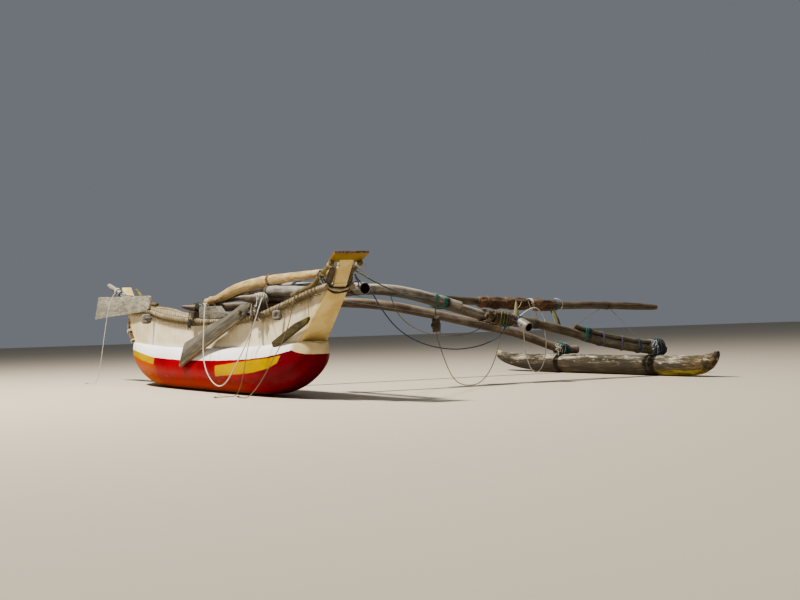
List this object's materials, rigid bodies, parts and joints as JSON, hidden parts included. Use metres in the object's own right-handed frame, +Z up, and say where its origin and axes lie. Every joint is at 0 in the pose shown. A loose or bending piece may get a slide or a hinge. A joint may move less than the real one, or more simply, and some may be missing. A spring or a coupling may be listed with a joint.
{
  "type": "outrigger canoe",
  "caption": "Beached sewn-plank outrigger canoe: hollowed log hull, plank sides, two lashed booms, a log float and stowed spars and boards.",
  "frame": {"origin": "on the ground, under the middle of the box round the hull, float, booms and stowed gear", "axes": "+X along the hull towards the bow, +Y across to the float, +Z up"},
  "size_m": [8.685, 5.7508, 1.3961],
  "materials": {
    "red_paint": "gloss",
    "cream_paint": "satin",
    "tan_paint": "satin",
    "ochre_paint": "satin",
    "grey_wood": "matte",
    "brown_wood": "matte",
    "pale_wood": "satin",
    "olive_wood": "matte",
    "coir_rope": "matte",
    "dark_rope": "matte",
    "teal_rope": "matte",
    "white_rope": "matte",
    "brown_cloth": "matte",
    "white_pipe": "matte"
  },
  "bodies": {
    "canoe": {"hull_log": "red_paint", "crossbeam_stern": "grey_wood", "crossbeam_middle": "grey_wood", "crossbeam_bow": "grey_wood", "washstrake_near": "cream_paint", "washstrake_far": "cream_paint", "gunwale_rail_near": "grey_wood", "gunwale_rail_far": "grey_wood", "stem_plate_bow": "tan_paint", "stem_plate_stern": "tan_paint", "cap_board_bow": "ochre_paint", "horn_bow_far": "olive_wood", "horn_bow_near": "olive_wood", "horn_stern_far": "olive_wood", "horn_stern_near": "olive_wood", "boom_chock_bow": "brown_wood", "boom_chock_aft": "brown_wood", "boom_bow_inner": "grey_wood", "boom_bow_middle": "grey_wood", "boom_bow_outer": "brown_wood", "boom_bow_rider": "grey_wood", "boom_aft": "brown_wood", "outrigger_float": "grey_wood", "head_pipe": "grey_wood", "joint_pipe": "white_pipe", "stowed_pole_near": "grey_wood", "stowed_pole_far": "brown_wood", "curved_spar": "pale_wood", "furled_spar": "brown_wood", "furled_cloth": "brown_cloth", "boom_peg": "olive_wood", "spar_strut": "olive_wood", "side_board_peg": "brown_wood", "split_block": "grey_wood", "loose_board": "olive_wood", "steering_blade": "grey_wood", "stern_pole": "pale_wood", "stern_fender": "coir_rope", "hanging_block": "brown_wood", "rope_ring": "coir_rope", "bored_float": "white_pipe", "lashing_bow_butt": "coir_rope", "lashing_aft_butt": "white_rope", "lashing_spar": "teal_rope", "lashing_joint": "coir_rope", "lashing_float_bow": "dark_rope", "lashing_float_aft": "dark_rope", "lashing_head": "dark_rope", "rope_near_loop": "white_rope", "rope_near_drop": "coir_rope", "rope_near_line": "coir_rope", "rope_stern_drop": "white_rope", "rope_head_sag": "dark_rope", "rope_boom_sag": "coir_rope", "rope_block_drop": "coir_rope", "rope_joint_loop": "white_rope"},
    "side_board": {"side_board": "grey_wood"}
  },
  "joints": [
    {"name": "side_board_swing", "type": "hinge", "parent": "canoe", "child": "side_board", "pos_m": [1.95751, -2.58553, 0.87355], "axis": [0, -0.9763, 0.2164], "range_deg": [-5, 70]}
  ]
}
